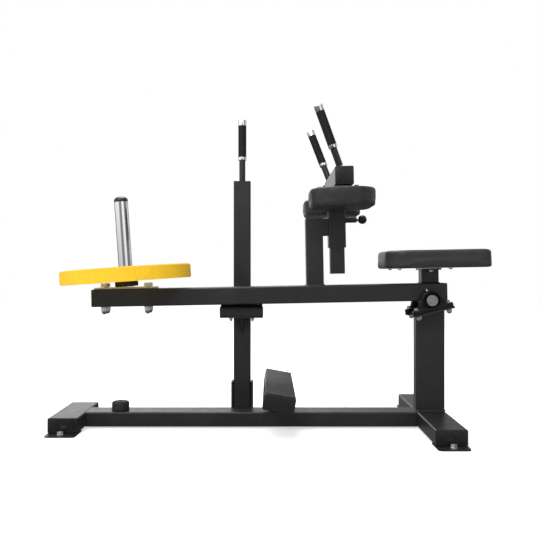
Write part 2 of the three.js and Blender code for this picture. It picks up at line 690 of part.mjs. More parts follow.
function addLever(machine) {
  const lever = addGroup(machine, [PIVOT_X, 0, PIVOT_Z], [0, -LEVER_TILT, 0]);
  addPart(lever, 'lever_beam', leverBeam(), powderCoat);
  addPart(lever, 'pivot_shaft', pivotShaft(), zinc);
  for (const [side, y] of [['near', -BEARING_Y], ['far', BEARING_Y]]) {
    const insert = turnToY(ring(SHAFT_RADIUS + GAP, INSERT_RADIUS, -17, 17, 24));
    addPart(lever, `bearing_insert_${side}`, insert, castHousing, [0, y, 0]);
  }
  addPeg(lever);
  addPart(lever, 'pad_post', padPost(), powderCoat);
  addPart(lever, 'pad_sleeve', padSleeve(), powderCoat, [SLEEVE_X, 0, SLEEVE_BOTTOM]);
  addSeat(lever);
  addLockPin(lever);
  addThighPads(lever);
}

// ---- Lock pin on the sleeve ----

function addLockPin(lever) {
  const face = SLEEVE_X + POST_SIZE / 2 + GAP;
  const barrel = turnToX(ring(PIN_RADIUS + GAP, BARREL_RADIUS, 0, BARREL_LENGTH));
  addPart(lever, 'pin_barrel', barrel, blackPlastic, [face, 0, PIN_Z]);
  const tip = -(WALL + 1.5);
  const neck = BARREL_LENGTH + GAP;
  const ball = neck + 6;
  const stub = ball + 12;
  const pin = turnToX(turned([
    [0, tip], [PIN_RADIUS - 1, tip], [PIN_RADIUS, tip + 1], [PIN_RADIUS, neck], [6.5, neck],
    [6.5, ball], [4, ball], [4, stub], [0, stub],
  ]));
  addPart(lever, 'lock_pin', pin, chrome, [face, 0, PIN_Z]);
  addPart(lever, 'pin_knob', pinKnob(), blackPlastic, [face + ball + GAP, 0, PIN_Z]);
}

// A ball with a flat where the pin enters it.
function pinKnob() {
  const flat = 7;
  const start = Math.asin(flat / KNOB_RADIUS);
  const centre = KNOB_RADIUS * Math.cos(start);
  const bore = 4 + GAP;
  const profile = [[0, 13], [bore, 13], [bore, 0]];
  const steps = 7;
  for (let step = 0; step <= steps; step++) {
    const angle = start + (Math.PI - start) * step / steps;
    profile.push([KNOB_RADIUS * Math.sin(angle), centre - KNOB_RADIUS * Math.cos(angle)]);
  }
  profile[profile.length - 1][0] = 0;
  return turnToX(turned(profile));
}

// ---- Thigh pads ----

function padSlider() {
  const height = CROSSBAR_BOTTOM - GAP - SLIDER_BOTTOM;
  const tube = tubeAlongZ(height, SLIDER_SIZE, SLIDER_SIZE);
  const holes = [];
  for (let z = PIN_Z - SLIDER_BOTTOM - 5 * PIN_HOLE_PITCH; z < height - 60; z += PIN_HOLE_PITCH) {
    holes.push(turnToX(cylinder(6, 0, 40, 8)).translate(0, 0, z));
  }
  return cut(tube, ...holes);
}

function addThighPads(lever) {
  addPart(lever, 'pad_slider', padSlider(), powderCoat, [SLEEVE_X, 0, SLIDER_BOTTOM]);
  const crossbar = tubeAlongY(CROSSBAR_LENGTH, POST_SIZE, POST_SIZE);
  const crossbarZ = CROSSBAR_BOTTOM + POST_SIZE / 2;
  addPart(lever, 'handle_crossbar', crossbar, powderCoat, [CROSSBAR_X, 0, crossbarZ]);
  const plateZ = CROSSBAR_BOTTOM - GAP - PAD_PLATE_THICKNESS;
  for (const [side, sign] of [['near', -1], ['far', 1]]) {
    const y = sign * THIGH_PAD_Y;
    const plate = extruded(roundedRectangle(150, 100, 12), PAD_PLATE_THICKNESS);
    addPart(lever, `pad_plate_${side}`, plate, powderCoat, [SLEEVE_X, sign * PAD_PLATE_Y, plateZ]);
    const outline = roundedRectangle(THIGH_PAD_LENGTH, THIGH_PAD_WIDTH, 92);
    const pad = cushion(outline, THIGH_PAD_THICKNESS, 9);
    addPart(lever, `thigh_pad_${side}`, pad, vinyl, [SLEEVE_X, y, THIGH_PAD_BOTTOM]);
    addPadHandle(lever, side, sign);
  }
}

// Each handle starts inside the crossbar's top and is cut off flush with it.
function addPadHandle(lever, side, sign) {
  const rodLength = 62.5;
  const buried = 12;
  const top = CROSSBAR_BOTTOM + POST_SIZE;
  const place = [-312.5, sign * 207, top];
  const lean = [-sign * 6 * degrees, -19.4 * degrees, 0];
  const turn = new THREE.Matrix4().makeRotationFromEuler(new THREE.Euler(...lean));
  const rod = gripRod(rodLength + buried).translate(0, 0, -buried).applyMatrix4(turn);
  const flush = cut(rod, box([-60, -60, -60], [60, 60, GAP]));
  addPart(lever, `handle_rod_${side}`, flush, chrome, place);
  const grip = gripSleeve(rodLength).applyMatrix4(turn);
  addPart(lever, `handle_grip_${side}`, grip, gripFoam, place);
}

// ---- The machine ----

const machine = new THREE.Group();
addBase(machine);
addAnchors(machine);
addUpright(machine);
addBearings(machine);
addFootBar(machine);
addCatch(machine);
addLever(machine);

export default machine;
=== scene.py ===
"""The looks of a seated calf raise machine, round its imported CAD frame. Metres, +Z up, +X to the seat."""
import json
import math

import bpy
from mathutils import Matrix, Vector


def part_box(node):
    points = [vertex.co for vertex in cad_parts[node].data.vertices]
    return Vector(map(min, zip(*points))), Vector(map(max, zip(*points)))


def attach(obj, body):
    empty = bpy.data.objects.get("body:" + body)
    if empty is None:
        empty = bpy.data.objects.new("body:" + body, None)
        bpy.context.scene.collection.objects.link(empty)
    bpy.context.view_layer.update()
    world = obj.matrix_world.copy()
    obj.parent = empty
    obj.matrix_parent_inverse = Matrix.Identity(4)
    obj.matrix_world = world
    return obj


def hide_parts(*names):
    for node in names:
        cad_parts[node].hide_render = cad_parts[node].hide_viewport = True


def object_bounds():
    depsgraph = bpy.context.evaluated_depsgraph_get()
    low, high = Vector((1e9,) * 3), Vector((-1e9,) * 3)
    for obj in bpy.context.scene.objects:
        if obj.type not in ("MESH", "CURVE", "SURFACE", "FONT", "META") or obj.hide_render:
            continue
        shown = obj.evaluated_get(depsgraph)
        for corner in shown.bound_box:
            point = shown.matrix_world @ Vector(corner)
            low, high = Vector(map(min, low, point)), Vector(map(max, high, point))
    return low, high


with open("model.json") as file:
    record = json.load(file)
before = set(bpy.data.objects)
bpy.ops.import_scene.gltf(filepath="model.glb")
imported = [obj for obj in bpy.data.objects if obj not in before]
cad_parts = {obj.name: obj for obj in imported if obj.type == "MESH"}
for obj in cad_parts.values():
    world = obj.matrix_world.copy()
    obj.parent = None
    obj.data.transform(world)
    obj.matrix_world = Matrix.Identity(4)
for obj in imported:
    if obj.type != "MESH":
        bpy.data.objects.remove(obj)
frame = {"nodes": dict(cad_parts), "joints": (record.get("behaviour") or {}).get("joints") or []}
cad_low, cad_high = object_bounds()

MM = 0.001
GAP = 0.3 * MM
SIDES = {"near": -1, "far": 1}

# Driving dimensions that the frame doesn't state by itself.
BEARING_TILT = math.radians(14)
BEARING_HEIGHT = 36.5 * MM
HANDLE_LEAN = math.radians(19.4)
HANDLE_SPLAY = math.radians(6)
HANDLE_FOOT_X = -312.5 * MM
HANDLE_FOOT_Y = 207 * MM
HANDLE_ROD = 62.5 * MM
CATCH_ROD = 77 * MM
COLLAR = 11 * MM
GRIP = 113 * MM
END_CAP = 21 * MM
ROD_RADIUS = 11 * MM
COLLAR_RADIUS = 15 * MM
GRIP_RADIUS = 14.5 * MM
TUBE_WALL = 3 * MM
TUBE_CORNER = 5 * MM
SHAFT_DISC_RADIUS = 18.7 * MM
FOOT_BAR_TILT = math.radians(10.3)
FLARE = 50 * MM
SPOT_FACE_RADIUS = 11.7 * MM
SEAT_POST_X = 9 * MM

ALONG_X = Matrix.Rotation(math.pi / 2, 4, "Y")
ALONG_Y = Matrix.Rotation(-math.pi / 2, 4, "X")
DOWN = Matrix.Rotation(math.pi, 4, "X")


# ---- Places, read from the frame ----

def axes(origin, along, up):
    """The space with this origin, X along one direction and Z up another."""
    across = up.cross(along).normalized()
    matrix = Matrix((along, across, up)).transposed().to_4x4()
    matrix.translation = origin
    return matrix


def local_box(node, space):
    """Lowest and highest corner of a CAD node in a space of its own."""
    inverse = space.inverted()
    points = [inverse @ vertex.co for vertex in frame["nodes"][node].data.vertices]
    low = Vector([min(point[i] for point in points) for i in range(3)])
    high = Vector([max(point[i] for point in points) for i in range(3)])
    return low, high


def moved(space, x=0.0, y=0.0, z=0.0):
    return space @ Matrix.Translation((x, y, z))


joints = {joint["name"]: joint for joint in frame["joints"]}
pivot = Vector(joints["lever_pivot"]["pos_m"])
lever_up = Vector(joints["pad_height"]["axis"])
peg_up = Vector(joints["weight_lift_off"]["axis"])
Y_AXIS = Vector((0, 1, 0))

WORLD = Matrix.Identity(4)
LEVER = axes(pivot, Y_AXIS.cross(lever_up), lever_up)
ring_low, ring_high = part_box("peg_stop_ring")
PEG = axes((ring_low + ring_high) / 2, Y_AXIS.cross(peg_up), peg_up)
BEARING = moved(Matrix.Translation(pivot) @ Matrix.Rotation(-BEARING_TILT, 4, "Y"), z=-BEARING_HEIGHT)


# ---- Meshes ----

def ring_of(points, z):
    return [Vector((x, y, z)) for x, y in points]


def circle(radius, steps):
    turns = [2 * math.pi * i / steps for i in range(steps)]
    return [(radius * math.cos(turn), radius * math.sin(turn)) for turn in turns]


def outline(width, depth, front, rear=None, steps=6):
    """A rectangle about the origin, with its own corner radius at the -X and at the +X end."""
    rear = front if rear is None else rear
    corners = [(1, -1, rear, -90), (1, 1, rear, 0), (-1, 1, front, 90), (-1, -1, front, 180)]
    points = []
    for side_x, side_y, radius, start in corners:
        x = side_x * (width / 2 - radius)
        y = side_y * (depth / 2 - radius)
        for i in range(steps + 1):
            angle = math.radians(start + 90 * i / steps)
            points.append((x + radius * math.cos(angle), y + radius * math.sin(angle)))
    return points


def block_rings(width, depth, low, high, front, rear=None, edge=1 * MM, steps=6, edge_steps=3):
    """Rings of a rounded block whose lower and upper edges are rounded too."""
    rear = front if rear is None else rear
    quarter = [math.pi / 2 * i / edge_steps for i in range(edge_steps + 1)]
    rings = []
    for rise, angles in ((1, quarter), (-1, quarter[::-1])):
        for angle in angles:
            inset = edge * (1 - math.sin(angle))
            height = edge * (1 - math.cos(angle))
            points = outline(width - 2 * inset, depth - 2 * inset, max(front - inset, 0.2 * MM),
                             max(rear - inset, 0.2 * MM), steps)
            rings.append(ring_of(points, low + height if rise > 0 else high - height))
    return rings


def turned_rings(profile, steps=48):
    """Rings of a solid of revolution. The profile is (radius, height), upwards on the outside."""
    return [ring_of(circle(max(radius, 0.05 * MM), steps), z) for radius, z in profile]


def hex_rings(flats, low, high, chamfer_low=False):
    """A hexagon head or nut, chamfered to a circle at the top, or at both ends."""
    steps = 48
    inner = flats / 2
    hexagon = []
    chamfer = []
    for i in range(steps):
        turn = 2 * math.pi * i / steps
        corner = inner / math.cos((turn + math.pi / 6) % (math.pi / 3) - math.pi / 6)
        hexagon.append((corner * math.cos(turn), corner * math.sin(turn)))
        chamfer.append((corner - inner) * 0.6)
    top = ring_of(circle(inner * 0.96, steps), high)
    upper = [Vector((x, y, high - 0.4 * MM - cut)) for (x, y), cut in zip(hexagon, chamfer)]
    if chamfer_low:
        lower = [Vector((x, y, low + 0.4 * MM + cut)) for (x, y), cut in zip(hexagon, chamfer)]
        return [ring_of(circle(inner * 0.96, steps), low), lower, upper, top]
    return [ring_of(hexagon, low), upper, top]


def loft(rings, closed=False):
    """Vertices and faces of a skin over rings of equal length, capped unless it closes on itself."""
    count = len(rings[0])
    vertices = [point for ring in rings for point in ring]
    pairs = [(i, i + 1) for i in range(len(rings) - 1)]
    if closed:
        pairs.append((len(rings) - 1, 0))
    faces = []
    for a, b in pairs:
        for i in range(count):
            j = (i + 1) % count
            faces.append((a * count + i, a * count + j, b * count + j, b * count + i))
    if not closed:
        faces.append(tuple(reversed(range(count))))
        last = (len(rings) - 1) * count
        faces.append(tuple(range(last, last + count)))
    return vertices, faces


def mesh_of(name, skins, space):
    """One mesh of one or more skins, moved into the row frame, with smooth faces and sharp edges."""
    vertices = []
    faces = []
    for skin_vertices, skin_faces in skins:
        start = len(vertices)
        vertices.extend(skin_vertices)
        faces.extend(tuple(start + i for i in face) for face in skin_faces)
    mesh = bpy.data.meshes.new(name)
    mesh.from_pydata(vertices, [], faces)
    mesh.transform(space)
    mesh.update()
    shade(mesh)
    return mesh


def shade(mesh, angle=32):
    mesh.shade_smooth()
    mesh.set_sharp_from_angle(angle=math.radians(angle))


def piece(name, skins, space, body, material, replaces=()):
    """A finished piece that rides on a body and may stand for CAD nodes."""
    if isinstance(skins, tuple):
        skins = [skins]
    thing = bpy.data.objects.new(name, mesh_of(name, skins, space))
    bpy.context.scene.collection.objects.link(thing)
    thing.data.materials.append(material)
    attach(thing, body)
    if replaces:
        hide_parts(*replaces)
    return thing


# ---- Materials ----

def new_shader(name, colour, roughness, metallic=0.0, **sockets):
    material = bpy.data.materials.new(name)
    material.use_nodes = True
    bsdf = material.node_tree.nodes["Principled BSDF"]
    bsdf.inputs["Base Color"].default_value = (*colour, 1)
    bsdf.inputs["Roughness"].default_value = roughness
    bsdf.inputs["Metallic"].default_value = metallic
    for socket, value in sockets.items():
        bsdf.inputs[socket.replace("_", " ")].default_value = value
    return material


def add_node(material, kind, inputs=None, **settings):
    node = material.node_tree.nodes.new(kind)
    for key, value in settings.items():
        setattr(node, key, value)
    for key, value in (inputs or {}).items():
        node.inputs[key].default_value = value
    return node


def object_noise(material, scale, detail=3.0, stretch=(1, 1, 1)):
    """Noise in the object's own metres, so that it keeps its scale and stays put when the piece moves."""
    link = material.node_tree.links.new
    place = add_node(material, "ShaderNodeTexCoord")
    mapping = add_node(material, "ShaderNodeMapping", {"Scale": stretch})
    noise = add_node(material, "ShaderNodeTexNoise", {"Scale": scale, "Detail": detail, "Roughness": 0.6})
    link(place.outputs["Object"], mapping.inputs["Vector"])
    link(mapping.outputs["Vector"], noise.inputs["Vector"])
    return noise.outputs["Fac"]


def object_cells(material, scale, feature="F1"):
    link = material.node_tree.links.new
    place = add_node(material, "ShaderNodeTexCoord")
    cells = add_node(material, "ShaderNodeTexVoronoi", {"Scale": scale}, feature=feature)
    link(place.outputs["Object"], cells.inputs["Vector"])
    return cells.outputs["Distance"]


def ranged(material, source, low, high, from_low=0.3, from_high=0.7):
    node = add_node(material, "ShaderNodeMapRange", {
        "From Min": from_low, "From Max": from_high, "To Min": low, "To Max": high})
    material.node_tree.links.new(source, node.inputs["Value"])
    return node.outputs["Result"]


def vary_roughness(material, source, low, high):
    bsdf = material.node_tree.nodes["Principled BSDF"]
    material.node_tree.links.new(ranged(material, source, low, high), bsdf.inputs["Roughness"])


def vary_colour(material, source, dark, light, from_low=0.3, from_high=0.7):
    """The base colour runs from dark to light with the source."""
    link = material.node_tree.links.new
    mix = add_node(material, "ShaderNodeMix", data_type="RGBA")
    mix.inputs["A"].default_value = (*dark, 1)
    mix.inputs["B"].default_value = (*light, 1)
    link(ranged(material, source, 0, 1, from_low, from_high), mix.inputs["Factor"])
    link(mix.outputs["Result"], material.node_tree.nodes["Principled BSDF"].inputs["Base Color"])


def add_bump(material, *layers):
    """Bump from (source, strength, depth in metres) layers, one on the other."""
    link = material.node_tree.links.new
    below = None
    for source, strength, depth in layers:
        bump = add_node(material, "ShaderNodeBump", {"Strength": strength, "Distance": depth})
        link(source, bump.inputs["Height"])
        if below:
            link(below, bump.inputs["Normal"])
        below = bump.outputs["Normal"]
    link(below, material.node_tree.nodes["Principled BSDF"].inputs["Normal"])


def powder_coat():
    """Satin black powder coat, with its fine orange peel."""
    material = new_shader("powder_coat", (0.013, 0.013, 0.014), 0.36)
    vary_colour(material, object_noise(material, 9), (0.011, 0.011, 0.012), (0.016, 0.016, 0.017))
    vary_roughness(material, object_noise(material, 40), 0.32, 0.42)
    add_bump(material, (object_noise(material, 700, 2), 0.25, 0.12 * MM))
    return material


def cast_enamel():
    material = new_shader("cast_enamel", (0.004, 0.004, 0.005), 0.34, Specular_IOR_Level=0.3)
    vary_roughness(material, object_noise(material, 90), 0.26, 0.45)
    add_bump(material, (object_noise(material, 420, 4), 0.45, 0.3 * MM))
    return material


def polished_chrome():
    material = new_shader("polished_chrome", (0.88, 0.89, 0.90), 0.12, 1.0)
    vary_roughness(material, object_noise(material, 25, 4, (6, 6, 1)), 0.08, 0.16)
    add_bump(material, (object_noise(material, 260, 3, (4, 4, 0.3)), 0.05, 0.05 * MM))
    return material


def bright_zinc():
    material = new_shader("bright_zinc", (0.52, 0.53, 0.55), 0.3, 1.0)
    vary_colour(material, object_noise(material, 160), (0.66, 0.67, 0.69), (0.86, 0.87, 0.88))
    vary_roughness(material, object_noise(material, 220), 0.22, 0.4)
    add_bump(material, (object_noise(material, 900, 3), 0.15, 0.08 * MM))
    return material


def turned_steel():
    """Bare steel with the fine rings that the lathe left."""
    material = new_shader("turned_steel", (0.42, 0.42, 0.42), 0.5, 1.0)
    vary_colour(material, object_noise(material, 300), (0.34, 0.34, 0.34), (0.5, 0.5, 0.5))
    vary_roughness(material, object_noise(material, 180), 0.42, 0.6)
    add_bump(material, (object_noise(material, 900, 3), 0.2, 0.08 * MM))
    return material


def black_rubber():
    material = new_shader("black_rubber", (0.010, 0.010, 0.011), 0.7)
    vary_roughness(material, object_noise(material, 60), 0.6, 0.8)
    add_bump(material, (object_noise(material, 900, 3), 0.4, 0.2 * MM))
    return material


def tread_rubber():
    """Matte rubber sheet with its fine pebbled top."""
    material = new_shader("tread_rubber", (0.012, 0.012, 0.013), 0.62)
    vary_roughness(material, object_noise(material, 50), 0.52, 0.7)
    add_bump(material, (object_cells(material, 420), 0.5, 0.3 * MM))
    return material


def grip_rubber():
    material = new_shader("grip_rubber", (0.009, 0.009, 0.010), 0.62, Specular_IOR_Level=0.25)
    vary_roughness(material, object_noise(material, 80), 0.55, 0.72)
    add_bump(material, (object_cells(material, 700), 0.35, 0.25 * MM))
    return material


def black_plastic():
    material = new_shader("black_plastic", (0.010, 0.010, 0.011), 0.3)
    vary_roughness(material, object_noise(material, 120), 0.24, 0.38)
    add_bump(material, (object_noise(material, 1200, 2), 0.12, 0.06 * MM))
    return material


def gloss_plastic():
    material = new_shader("gloss_plastic", (0.008, 0.008, 0.009), 0.2, Specular_IOR_Level=0.35)
    vary_roughness(material, object_noise(material, 60), 0.16, 0.3)
    return material


def satin_vinyl():
    """Upholstery vinyl: pebbled grain over the slow ripple of the foam."""
    material = new_shader("satin_vinyl", (0.021, 0.021, 0.022), 0.42, Specular_IOR_Level=0.32)
    vary_colour(material, object_noise(material, 14), (0.018, 0.018, 0.019), (0.024, 0.024, 0.025))
    vary_roughness(material, object_noise(material, 30), 0.36, 0.48)
    grain = ranged(material, object_cells(material, 520, "DISTANCE_TO_EDGE"), 0, 1, 0.0, 0.12)
    add_bump(material, (object_noise(material, 22, 2), 0.25, 1.2 * MM), (grain, 0.3, 0.15 * MM))
    return material


def yellow_rubber():
    """Bumper plate rubber, coloured through, with fine granules of other shades."""
    material = new_shader("yellow_rubber", (0.74, 0.44, 0.014), 0.7, Specular_IOR_Level=0.25)
    speckle = object_noise(material, 330, 4)
    vary_colour(material, speckle, (0.61, 0.34, 0.009), (0.80, 0.50, 0.021), 0.36, 0.6)
    vary_roughness(material, object_noise(material, 120), 0.6, 0.8)
    granules = object_cells(material, 380)
    fine = object_noise(material, 900, 3)
    add_bump(material, (granules, 0.35, 0.35 * MM), (fine, 0.3, 0.2 * MM))
    return material


POWDER = powder_coat()
CAST = cast_enamel()
CHROME = polished_chrome()
ZINC = bright_zinc()
STEEL = turned_steel()
RUBBER = black_rubber()
TREAD = tread_rubber()
GRIP_SKIN = grip_rubber()
PLASTIC = black_plastic()
GLOSS = gloss_plastic()
VINYL = satin_vinyl()
YELLOW = yellow_rubber()


def finish_frame():
    """The welded steel stays as the CAD made it, with softened edges, in its powder coat."""
    for node in frame["nodes"].values():
        node.data.materials.clear()
        node.data.materials.append(POWDER)
        shade(node.data)
        bevel = node.modifiers.new("edges", "BEVEL")
        bevel.width = 0.7 * MM
        bevel.segments = 2
        bevel.limit_method = "ANGLE"
        bevel.angle_limit = math.radians(40)
        normals = node.modifiers.new("flats", "WEIGHTED_NORMAL")
        normals.keep_sharp = True


# ---- Frame details ----

def tube_cap(name, space, width, depth, body):
    """Plastic plug in a tube's open end: a thin rounded plate and the plug behind it. Z points out."""
    thick = 2.5 * MM
    inner = 2 * TUBE_WALL + 0.6 * MM
    plug = block_rings(width - inner, depth - inner, -18 * MM, 0.1 * MM, 2 * MM, edge=0.5 * MM)[:4]
    plate = block_rings(width - 0.4 * MM, depth - 0.4 * MM, GAP, thick, TUBE_CORNER, edge=1 * MM)
    return piece(name, loft(plug + plate), space, body, PLASTIC)


def tube_ends(node, space, axis, body, skip=()):
    """Caps on both ends of a straight tube along X or Y of its space."""
    low, high = local_box(node, space)
    middle = (low + high) / 2
    size = high - low
    for end, sign in (("low", -1), ("high", 1)):
        if end in skip:
            continue
        place = middle.copy()
        place[axis] = (low if sign < 0 else high)[axis]
        spot = space @ Matrix.Translation(place)
        if axis == 0:
            turn = spot @ Matrix.Rotation(sign * math.pi / 2, 4, "Y")
            tube_cap(f"{node}_cap_{end}", turn, size.z, size.y, body)
        elif axis == 1:
            turn = spot @ Matrix.Rotation(-sign * math.pi / 2, 4, "X")
            tube_cap(f"{node}_cap_{end}", turn, size.x, size.z, body)
        else:
            turn = spot if sign > 0 else spot @ DOWN
            tube_cap(f"{node}_cap_{end}", turn, size.x, size.y, body)


def make_bolt(node, space, body, flats, head, washer, nut=0.0):
    """A finer bolt where the CAD has one: chamfered head, washer, shank, and the cap nut if it has one."""
    low, high = local_box(node, space)
    centre = (low + high) / 2
    spot = moved(space, centre.x, centre.y, high.z)
    washer_thick = 2 * MM
    seat = -head
    skins = [loft(hex_rings(flats, seat, 0.0))]
    face = seat - washer_thick
    rim = 0.3 * MM
    skins.append(loft(turned_rings([
        (washer - rim, face), (washer, face + rim), (washer, seat - rim), (washer - rim, seat)])))
    shank = 5 * MM if flats < 18 * MM else 6 * MM
    bottom = low.z - high.z
    stop = bottom + nut
    skins.append(loft(turned_rings([(shank, stop), (shank, face)], 24)))
    if nut:
        skins.append(loft(turned_rings([
            (washer - rim, stop - washer_thick), (washer, stop - washer_thick + rim),
            (washer, stop - rim), (washer - rim, stop)])))
        hex_low = stop - washer_thick - nut * 0.5
        skins.append(loft(hex_rings(flats, hex_low, stop - washer_thick, chamfer_low=True)))
        dome = flats * 0.48
        reach = hex_low - bottom
        steps = 6
        arc = [math.pi / 2 * i / steps for i in range(steps + 1)]
        skins.append(loft(turned_rings([
            (dome * math.sin(angle), hex_low + 0.3 * MM - reach * math.cos(angle)) for angle in arc], 32)))
    return piece(f"{node}_fine", skins, spot, body, ZINC, [node])


def make_floor_hardware():
    for end in ("front", "rear"):
        for side in SIDES:
            make_bolt(f"anchor_bolt_{end}_{side}", WORLD, "frame", 19 * MM, 9 * MM, 12 * MM)
    tube_ends("front_foot_tube", WORLD, 1, "frame")
    tube_ends("rear_foot_tube", WORLD, 1, "frame")


def make_rubber_stop():
    low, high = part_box("rubber_stop")
    middle = (low + high) / 2
    radius = (high.x - low.x) / 2
    top = high.z - low.z
    round_edge = 7 * MM
    straight = top - 8 * MM
    profile = [(radius - 1.5 * MM, 0), (radius, 1.5 * MM), (radius, straight)]
    steps = 6
    for i in range(1, steps + 1):
        angle = math.pi / 2 * i / steps
        profile.append((radius - round_edge * (1 - math.cos(angle)), straight + round_edge * math.sin(angle)))
    profile += [(radius * 0.5, top - 0.2 * MM), (7 * MM, top), (6 * MM, top - 3 * MM)]
    stop = Matrix.Translation((middle.x, middle.y, low.z))
    piece("rubber_stop_fine", loft(turned_rings(profile)), stop, "frame", RUBBER,
          ["rubber_stop"])


def make_foot_bar():
    low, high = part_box("foot_bar")
    middle = (low + high) / 2
    space = Matrix.Translation(middle) @ Matrix.Rotation(FOOT_BAR_TILT, 4, "Y")
    tube_ends("foot_bar", space, 1, "frame")
    low, high = local_box("foot_tread", space)
    size = high - low
    spot = moved(space, z=low.z)
    rings = block_rings(size.x, size.y, 0, size.z, 4 * MM, edge=1.2 * MM)
    piece("foot_tread_fine", loft(rings), spot, "frame", TREAD, ["foot_tread"])


# ---- Bearings ----

def housing_outline(steps, flare):
    """Side view of the housing about the shaft: a dome with straight flanks down to the foot."""
    radius = 34.5 * MM
    drop = BEARING_HEIGHT - 12 * MM
    tangent = math.acos(radius / math.hypot(flare, drop)) - math.atan2(drop, flare)
    points = []
    for i in range(steps):
        turn = 2 * math.pi * i / steps
        x = abs(math.cos(turn))
        y = math.sin(turn)
        angle = math.atan2(y, x)
        reach = radius if angle > tangent else radius / max(math.cos(angle - tangent), 1e-3)
        if x > 1e-6:
            reach = min(reach, flare / x)
        if y < 0:
            reach = min(reach, (4 * MM - BEARING_HEIGHT) / y)
        points.append((reach * math.cos(turn), reach * math.sin(turn)))
    return points


def bored_skin(outer, low, high, steps):
    """A slab across the shaft between two Y positions, with the insert's seat through it."""
    seat = circle(28.4 * MM, steps)
    rings = [ring_of(outer, low), ring_of(outer, high), ring_of(seat, high), ring_of(seat, low)]
    vertices, faces = loft(rings, closed=True)
    lift = Matrix.Translation((0, 0, BEARING_HEIGHT)) @ Matrix.Rotation(math.pi / 2, 4, "X")
    return [lift @ vertex for vertex in vertices], faces


def make_housing(side):
    """Cast housing: foot, dome and boss fused and softened by a voxel remesh."""
    low, high = local_box(f"bearing_housing_{side}", BEARING)
    spot = moved(BEARING, y=(low.y + high.y) / 2)
    depth = high.y - low.y
    dome = depth / 2 - 4 * MM
    steps = 96
    wide = housing_outline(steps, FLARE)
    skins = [
        loft(block_rings(high.x - low.x, depth, 0, 14 * MM, 12 * MM, edge=1.5 * MM, steps=10)),
        bored_skin(housing_outline(steps, FLARE - SPOT_FACE_RADIUS + 2 * MM), -dome, dome, steps),
        bored_skin(wide, SPOT_FACE_RADIUS, dome, steps),
        bored_skin(wide, -dome, -SPOT_FACE_RADIUS, steps),
        bored_skin(circle(30.5 * MM, steps), -depth / 2, depth / 2, steps),
    ]
    housing = piece(f"bearing_housing_{side}_cast", skins, spot, "frame", CAST,
                    [f"bearing_housing_{side}"])
    soften(housing, 1.0 * MM, 4)
    grease_nipple(side, spot)


def soften(thing, voxel, rounds):
    """Fuses a piece's skins into one and rounds its edges."""
    remesh = thing.modifiers.new("fuse", "REMESH")
    remesh.mode = "VOXEL"
    remesh.voxel_size = voxel
    smooth = thing.modifiers.new("soften", "SMOOTH")
    smooth.iterations = rounds
    smooth.factor = 0.5
    apply_modifiers(thing)
    thing.data.shade_smooth()


def apply_modifiers(thing):
    """Puts the modified mesh in place of the piece's own."""
    graph = bpy.context.evaluated_depsgraph_get()
    made = bpy.data.meshes.new_from_object(thing.evaluated_get(graph))
    thing.modifiers.clear()
    thing.data = made


def grease_nipple(side, spot):
    lean = moved(spot, z=BEARING_HEIGHT) @ Matrix.Rotation(math.radians(-8), 4, "Y")
    place = moved(lean, z=34 * MM)
    profile = [(4.5 * MM, 0), (4.5 * MM, 3 * MM), (2.2 * MM, 3.6 * MM), (2.2 * MM, 6 * MM),
               (3.2 * MM, 7 * MM), (3.2 * MM, 8.5 * MM), (1.8 * MM, 10 * MM)]
    piece(f"grease_nipple_{side}", loft(turned_rings(profile, 20)), place, "frame", CHROME)


def make_bearings():
    for side, sign in SIDES.items():
        make_housing(side)
        for end in ("front", "rear"):
            node = f"bearing_bolt_{side}_{end}"
            make_bolt(node, BEARING, "frame", 17 * MM, 7 * MM, 10.5 * MM, 16 * MM)
        make_insert(side, sign)
    make_shaft()


def make_insert(side, sign):
    """Bearing insert: outer ring, recessed seal, inner race and the collar round the shaft."""
    low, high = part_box(f"bearing_insert_{side}")
    middle = (low + high) / 2
    spot = Matrix.Translation(middle) @ Matrix.Rotation(-sign * math.pi / 2, 4, "X")
    half = (high.y - low.y) / 2
    outer = (high.x - low.x) / 2
    profile = [
        (12.8 * MM, -half), (outer - 1 * MM, -half), (outer, -half + 1 * MM), (outer, 8 * MM),
        (outer - 1 * MM, 9 * MM), (outer - 5 * MM, 9 * MM), (outer - 6 * MM, 7 * MM),
        (20 * MM, 7 * MM), (19 * MM, 8 * MM), (19 * MM, half - 1 * MM), (18 * MM, half), (12.8 * MM, half)]
    rings = turned_rings(profile)
    piece(f"bearing_insert_{side}_fine", loft(rings, closed=True), spot, "lever", CAST,
          [f"bearing_insert_{side}"])


def make_shaft():
    low, high = local_box("pivot_shaft", LEVER)
    hub = (high.x - low.x) / 2
    hub_half = local_box("lever_beam", LEVER)[1].y - 1 * MM
    end = high.y
    journal = 12.5 * MM
    profile = [
        (journal - 1 * MM, -end), (journal, -end + 1 * MM), (journal, -hub_half), (hub - 1 * MM, -hub_half),
        (hub, -hub_half + 1 * MM), (hub, hub_half - 1 * MM), (hub - 1 * MM, hub_half), (journal, hub_half),
        (journal, end - 1 * MM), (journal - 1 * MM, end)]
    piece("pivot_shaft_fine", loft(turned_rings(profile)), LEVER @ ALONG_Y, "lever", ZINC,
          ["pivot_shaft"])
    for side, sign in SIDES.items():
        spot = moved(LEVER, y=sign * (end + GAP)) @ Matrix.Rotation(-sign * math.pi / 2, 4, "X")
        edge = SHAFT_DISC_RADIUS
        disc = [(edge - 0.8 * MM, 0), (edge, 0.8 * MM), (edge, 2.6 * MM), (edge - 1 * MM, 3.6 * MM),
                (edge * 0.66, 3.6 * MM), (edge * 0.62, 2.8 * MM), (edge * 0.56, 2.8 * MM),
                (edge * 0.52, 3.6 * MM), (2 * MM, 3.6 * MM), (1.2 * MM, 2.6 * MM)]
        piece(f"shaft_disc_{side}", loft(turned_rings(disc)), spot, "lever", STEEL)


# ---- Weight peg and plate ----

